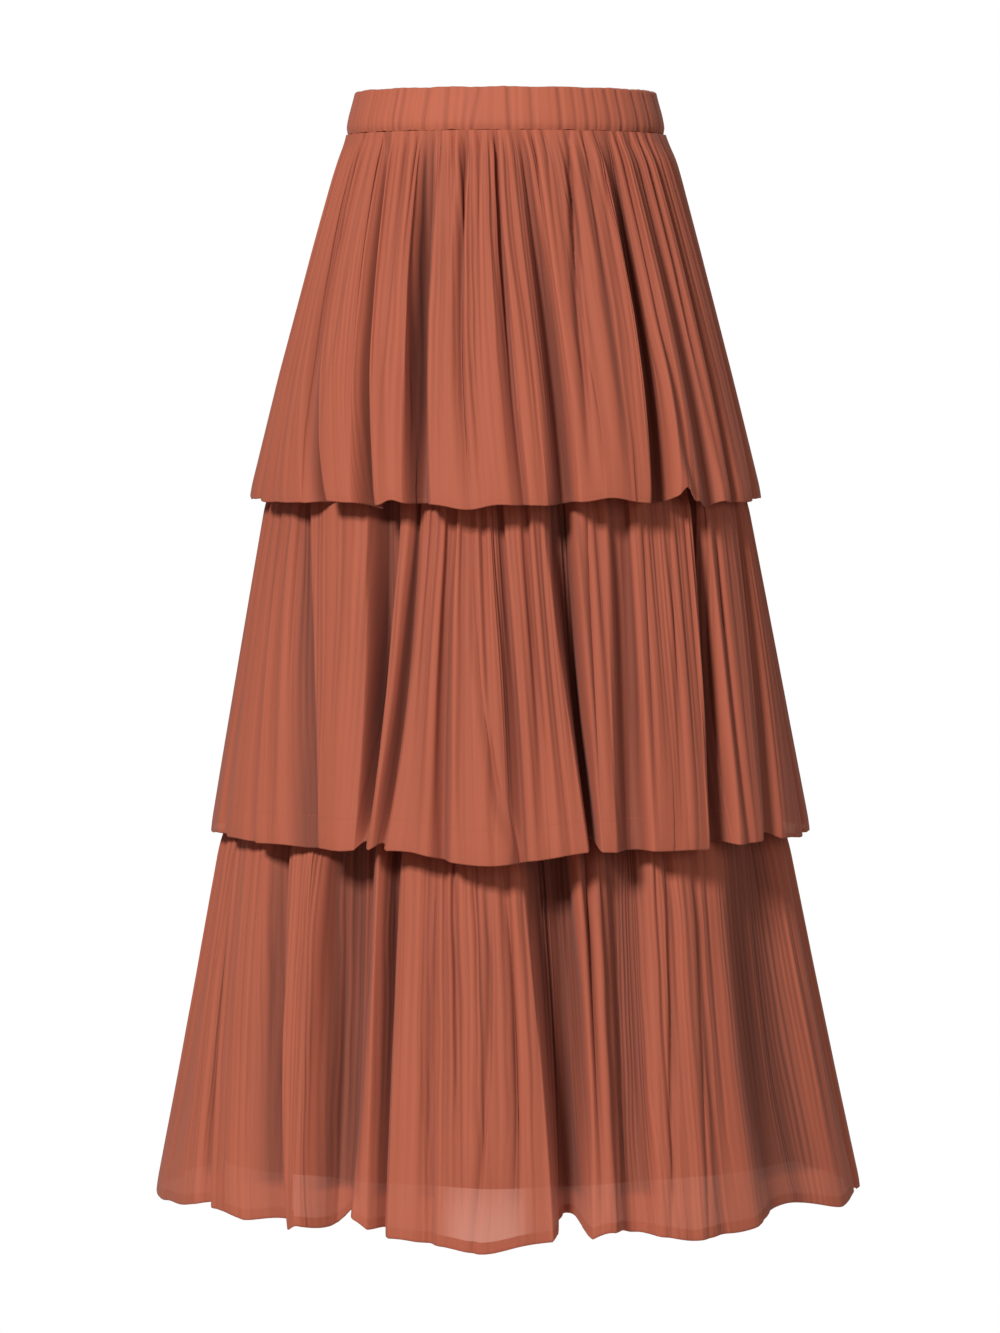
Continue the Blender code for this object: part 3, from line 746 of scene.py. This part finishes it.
TIER_3_PUCKERS = {FRONT: in_metres(Fold, [
    # at: top, mid, hem   reach   depth       lean  lift  flat
    (-29, -27, -25,       12, 12, 22, 19, 0,  0.0,  0,    0),
    (17, 15.8, 15,        9, 9,   16, 8, 0,   0.0,  0,    0),
    (-10.9, -8.2, -7.6,   5, 8,   0, 5, 0,    0.0,  0,    0),
    (-3.7, -3.2, -5.5,    5, 6,   0, 3, 2.5,  0.3,  0,    0),
    (35, 30.5, 26,        4, 6,   0, 4, 1,    0.0,  0,    0),
    (40, 36, 32,          4, 6,   0, 3, 1,    0.0,  0,    0),
    (-40, -37, -34,       4, 7,   0, 3, 1,    0.0,  0,    0)]),
    BACK: in_metres(Fold, [
    (-38, -36, -34,       5, 8,   0, 5, 1,    0.0,  0,    0),
    (-22, -21, -20,       5, 8,   0, 5, 1,    0.2,  0,    0),
    (1, 1, 1,             5, 8,   0, 5, 2,    0.0,  0,    0),
    (26, 25, 24,          5, 8,   0, 5, 1,    0.0,  0,    0),
    (41, 39, 38,          5, 8,   0, 4, 1,    0.0,  0,    0)])}
TIER_3_SWELLS = {FRONT: in_metres(Swell, [
    # at: top, hem  reach  out  drop  from, to  spread
    (-7, -5,        62,    9,   6,    0.2, 2,   0),
    (-5, -3.4,      42,    0,   0,    0.87, 2,  1),
    (-41, -34.5,    13,    4,   -5,   0.2, 2,   0.2),
    (-29, -26,      34,    0,   -17,  0.2, 2),
    (-66, -58,      110,   0,   -9,   0.2, 2),
    (18, 15.5,      26,    2,   -7,   0.2, 2,   0.1),
    (82, 80,        60,    0,   -7,   0.2, 2),
    (38, 30,        36,    7,   3,    0.2, 2,   0.1)]),
    BACK: in_metres(Swell, [
    (0.5, 0.5,      30,    6,   4,    0.2, 2),
    (-27, -21.5,    30,    5,   3,    0.2, 2,   0.15),
    (30, 24,        30,    5,   3,    0.2, 2,   0.15)])}

SHEER_CRINKLE, = in_metres(Pleats, [
    # width d_top d_mid d_hem from, to  sharp
    (6.0,   0.9,  1.05, 0.6,  0.6, 1.15, 0.7)])
SMOOTH_SHEER_HEM = 0.3
sheer = chiffon_finish("sheer chiffon", (0.54, 0.14, 0.076, 1), (0.45, 0.11, 0.059, 1), see_through=0.02,
                       spread_clear=0.22, glow=0.07, stitch_v=TIER_3_SEAM - TIER_3_HEM - TURNED_HEM,
                       tint=(0.6, 0.17, 0.09, 1))
for node, side, seed in (("tier_3_front", FRONT, 51), ("tier_3_back", BACK, 61)):
    half = Tier(TIER_3, TIER_3_FOLDS[side], TIER_3_PUCKERS[side], TIER_3_SWELLS[side], side, TIER_3_FULL_SHADE_DEPTH)
    points, uv, shares = half.cloth(SHEER_CRINKLE, TURNED_HEM, SMOOTH_SHEER_HEM, seed)
    ruffle = add_piece(node + "_cloth", points, uv, sheer, **shares)
    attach(ruffle, "root")
    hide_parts(node)

# ---- Waistband ---------------------------------------------------------------------------------
# One strip folded over elastic and sewn to a loop. The elastic gathers it into upright creases, close
# together towards the wearer's left. Its open lower edges take in the top tier and the lining.
BAND_TOP, BAND_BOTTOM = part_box("waistband")[1].z - 0.6 * MM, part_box("waistband")[0].z + 0.4 * MM
BAND = in_metres(Section, [
    (BAND_TOP / MM,    121.2,  88.6,  0),
    (0,                126.5,  92.6,  0),
    (BAND_BOTTOM / MM, 130.3,  96.6,  0)])
BAND_HALF_WALL = 2.0 * MM
BAND_COLUMNS = 900
BAND_PUFF = 0.7 * MM          # the band stands out this far halfway up
BAND_TUCK = 1.4 * MM          # and is drawn in this far at its seam
FULL_CREASE_SHADE = 1.6 * MM        # a crease this deep gets the darkest painted shade

# A crease: degrees round from the middle, its depth, its half width, and how many degrees it runs
# sideways from the top of the band to its seam.
Crease = namedtuple("Crease", "at depth reach slant")
BAND_CREASES = {FRONT: in_metres(Crease, [
    # at    depth reach slant
    (-74,    0.70, 2.4,  1.08),
    (-59,    0.35, 2.0,  0.36),
    (-45.5,  1.05, 1.8,  0.36),
    (-41.5,  0.91, 1.8,  0.00),
    (-30.6,  1.05, 2.0,  -0.54),
    (-22,    0.84, 2.2,  0.54),
    (-14.5,  0.63, 1.8,  -1.62),
    (-10.8,  0.98, 1.8,  -2.16),
    (1.2,    1.05, 2.0,  0.90),
    (9.5,    1.05, 2.0,  0.18),
    (20.4,   0.98, 2.2,  0.36),
    (26,     0.70, 1.9,  0.18),
    (31,     0.77, 1.8,  0.36),
    (35,     0.63, 1.6,  0.00),
    (41,     0.91, 2.0,  0.54),
    (46.6,   0.84, 1.9,  0.36),
    (56.2,   0.98, 2.0,  0.54),
    (65,     0.84, 2.0,  0.72),
    (75,     0.70, 2.2,  0.00)]),
    BACK: in_metres(Crease, [
    (-76,    0.70, 2.2,  0.36),
    (-63,    0.91, 2.2,  0.00),
    (-51,    1.05, 2.4,  -0.54),
    (-43,    0.63, 1.9,  0.36),
    (-34,    0.98, 2.2,  0.72),
    (-26,    0.70, 2.0,  0.00),
    (-15,    1.12, 2.4,  -0.36),
    (-8,     0.63, 1.9,  0.54),
    (2,      1.05, 2.2,  0.18),
    (13,     0.91, 2.0,  -0.72),
    (20,     0.56, 1.8,  0.00),
    (29,     1.05, 2.4,  0.54),
    (40,     0.77, 2.0,  0.00),
    (49,     1.05, 2.2,  -0.36),
    (60,     0.84, 2.2,  0.36),
    (73,     0.91, 2.2,  0.00)])}
BAND_CRINKLE, = in_metres(Pleats, [
    # width d_top d_mid d_hem from, to  sharp
    (5.5,   0.35, 0.2,  0.5,  2,   3,   1.0)])


def band_points():
    """The band as one loop: rows go up inside, over the rounded top edge and down outside.

    A row lies at the middle of the wall plus BAND_HALF_WALL * cos(turn), where turn swings from inside to
    outside over the top edge. On the outside, each crease draws the cloth in by its depth times
    exp(-(distance / reach)^2), and the painted shade at each point follows the creases.
    """
    straight, bend = 13, 9
    turn = np.concatenate([np.full(straight, math.pi), np.linspace(math.pi, 0, bend + 2)[1:-1],
                           np.zeros(straight)])
    height = BAND_TOP - BAND_BOTTOM - BAND_HALF_WALL
    run = np.linspace(0, 1, straight)
    z = np.concatenate([BAND_BOTTOM + height * run,
                        np.full(bend, BAND_BOTTOM + height), BAND_BOTTOM + height * run[::-1]])
    z = z + BAND_HALF_WALL * np.sin(turn)
    around = np.linspace(0, 2 * math.pi, BAND_COLUMNS, endpoint=False)[None, :] - math.pi / 2
    width, depth, shift = sections_at(BAND, np.clip(z, BAND_BOTTOM, BAND_TOP))
    point, normal, _, speed = on_ellipse(around, width, depth, shift, FRONT)
    down = ((BAND_TOP - z) / (BAND_TOP - BAND_BOTTOM))[:, None]
    outside = (1 + np.cos(turn))[:, None] / 2
    drawn_in = np.zeros(point.shape[:2])
    for side, middle in ((FRONT, 0.0), (BACK, math.pi)):
        for crease in BAND_CREASES[side]:
            centre = middle + side * (crease.at + crease.slant * (down - 0.5))
            away = (around - centre + math.pi) % (2 * math.pi) - math.pi
            drawn_in += crease.depth * np.exp(-(away * speed / crease.reach) ** 2)
    lengths = np.linspace(0, 1, BAND_COLUMNS, endpoint=False)[None, :] * speed.mean() * 2 * math.pi
    fine = pleated(BAND_CRINKLE, lengths, down, lengths.max(), 71)
    puff = BAND_PUFF * np.sin(math.pi * np.clip(down, 0, 1)) - BAND_TUCK * eased(down, 0.86, 1.0)
    out = BAND_HALF_WALL * np.cos(turn)[:, None] + (puff - drawn_in + fine) * outside
    flat = point + normal * out[..., None]
    lift = (0.3 * MM * ripple(around * 2, 0, 72, 6) - drawn_in * 0.15) * (1 - down) ** 2
    scallop = 0.5 * MM * ripple(around * 3, 0, 74, 6) + fine * 0.8
    lift = lift + scallop * outside * np.clip(down, 0, 1) ** 4
    points = np.dstack([flat, np.broadcast_to(z[:, None], flat.shape[:2]) + lift])
    path = np.concatenate([[0], np.cumsum(np.linalg.norm(np.diff(points[:, 0], axis=0), axis=1))])
    lengths = np.append(lengths, lengths[0, -1:] * BAND_COLUMNS / (BAND_COLUMNS - 1))[None, :]
    uv = np.dstack([np.broadcast_to(lengths, (len(z), BAND_COLUMNS + 1)),
                    np.broadcast_to(path[:, None], (len(z), BAND_COLUMNS + 1))])
    # Painted shade in the band's creases, a little lighter on its fine crinkle.
    hollow = np.clip(drawn_in / FULL_CREASE_SHADE * 0.5 - fine / (0.3 * MM) * 0.2, 0, 1) * outside
    return points, uv, hollow


NO_STITCHES = 1.0             # further down the cloth than the band reaches
band_cloth = chiffon_finish("waistband chiffon", RUST, RUST_SHADE, see_through=0.0, spread_clear=0,
                            glow=0.04, stitch_v=NO_STITCHES, tint=(0.5, 0.13, 0.07, 1))
points, uv, hollow = band_points()
band = add_piece("waistband_cloth", points, uv, band_cloth, loop=True, hollow=hollow)
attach(band, "root")
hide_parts("waistband")

# ---- Studio ------------------------------------------------------------------------------------
# A plain pale floor below the hem, a soft key light from the front left with a fill from the front
# right, weak light from behind and all round, and a long lens.
FLOOR_DROP = 0.34
FLOOR_SIZE, FLOOR_FADE = 2.6, (0.45, 1.1)
ROOM_LIGHT = 0.2
floor_mesh = bpy.data.meshes.new("floor")
half_floor, level = FLOOR_SIZE / 2, cad_box[0][2] - FLOOR_DROP
floor_mesh.from_pydata([(x * half_floor, y * half_floor, level)
                        for x, y in ((-1, -1), (1, -1), (1, 1), (-1, 1))], [], [(0, 1, 2, 3)])
floor = bpy.data.objects.new("floor", floor_mesh)
bpy.context.scene.collection.objects.link(floor)
pale = Finish("pale floor")
place = pale.node("ShaderNodeTexCoord", output=3)
grey = pale.mixed(pale.noise(place, 3.0), (0.93, 0.93, 0.93, 1), (0.95, 0.95, 0.95, 1))
away = pale.node("ShaderNodeVectorMath", {"operation": "LENGTH"}, {
    0: pale.node("ShaderNodeMapping", {}, {"Vector": place, "Scale": (1, 1, 0)})}, output=1)
fading = pale.node("ShaderNodeMapRange", {"interpolation_type": "SMOOTHSTEP"},
                   {0: away, 1: FLOOR_FADE[0], 2: FLOOR_FADE[1]})
pale.node("ShaderNodeOutputMaterial", {}, {"Surface": pale.node("ShaderNodeMixShader", {}, {
    0: fading,
    1: pale.node("ShaderNodeBsdfPrincipled", {}, {"Base Color": grey, "Roughness": 0.9}),
    2: pale.node("ShaderNodeBsdfTransparent")})})
floor_mesh.materials.append(pale.material)

world = bpy.data.worlds.new("studio")
bpy.context.scene.world = world
world.use_nodes = True
nodes, links = world.node_tree.nodes, world.node_tree.links
nodes.clear()
room, backdrop, either = (nodes.new(kind) for kind in ("ShaderNodeBackground", "ShaderNodeBackground",
                                                       "ShaderNodeMixShader"))
room.inputs["Strength"].default_value, backdrop.inputs["Strength"].default_value = ROOM_LIGHT, 1.0
for shade in (room, backdrop):
    shade.inputs["Color"].default_value = (1, 1, 1, 1)
links.new(nodes.new("ShaderNodeLightPath").outputs["Is Camera Ray"], either.inputs[0])
links.new(room.outputs[0], either.inputs[1])
links.new(backdrop.outputs[0], either.inputs[2])
links.new(either.outputs[0], nodes.new("ShaderNodeOutputWorld").inputs[0])
bpy.context.scene.view_settings.view_transform = "Standard"

HIPS = Vector((0, 0, -0.45))


def soft_light(name, place, size, power):
    """A square area light that looks at the middle of the skirt."""
    light = bpy.data.lights.new(name, "AREA")
    light.shape, light.size, light.energy = "SQUARE", size, power
    lamp = bpy.data.objects.new(name, light)
    lamp.location = place
    lamp.rotation_euler = (HIPS - Vector(place)).to_track_quat("-Z", "Y").to_euler()
    bpy.context.scene.collection.objects.link(lamp)


soft_light("key", (-1.6, -3.1, 1.75), 0.8, 150)
soft_light("fill", (2.3, -2.8, 0.2), 1.8, 18)
soft_light("back", (1.8, 3.0, 1.6), 1.6, 12)

EYE_LEVEL, DISTANCE, PITCH, LENS = -0.2035, 4.0, math.radians(3.64), 130
camera_data = bpy.data.cameras.new("camera")
camera_data.lens = LENS
camera = bpy.data.objects.new("camera", camera_data)
camera.location = (-0.0046, -DISTANCE, EYE_LEVEL)
camera.rotation_euler = (math.pi / 2 - PITCH, 0, 0)
bpy.context.scene.collection.objects.link(camera)
bpy.context.scene.camera = camera
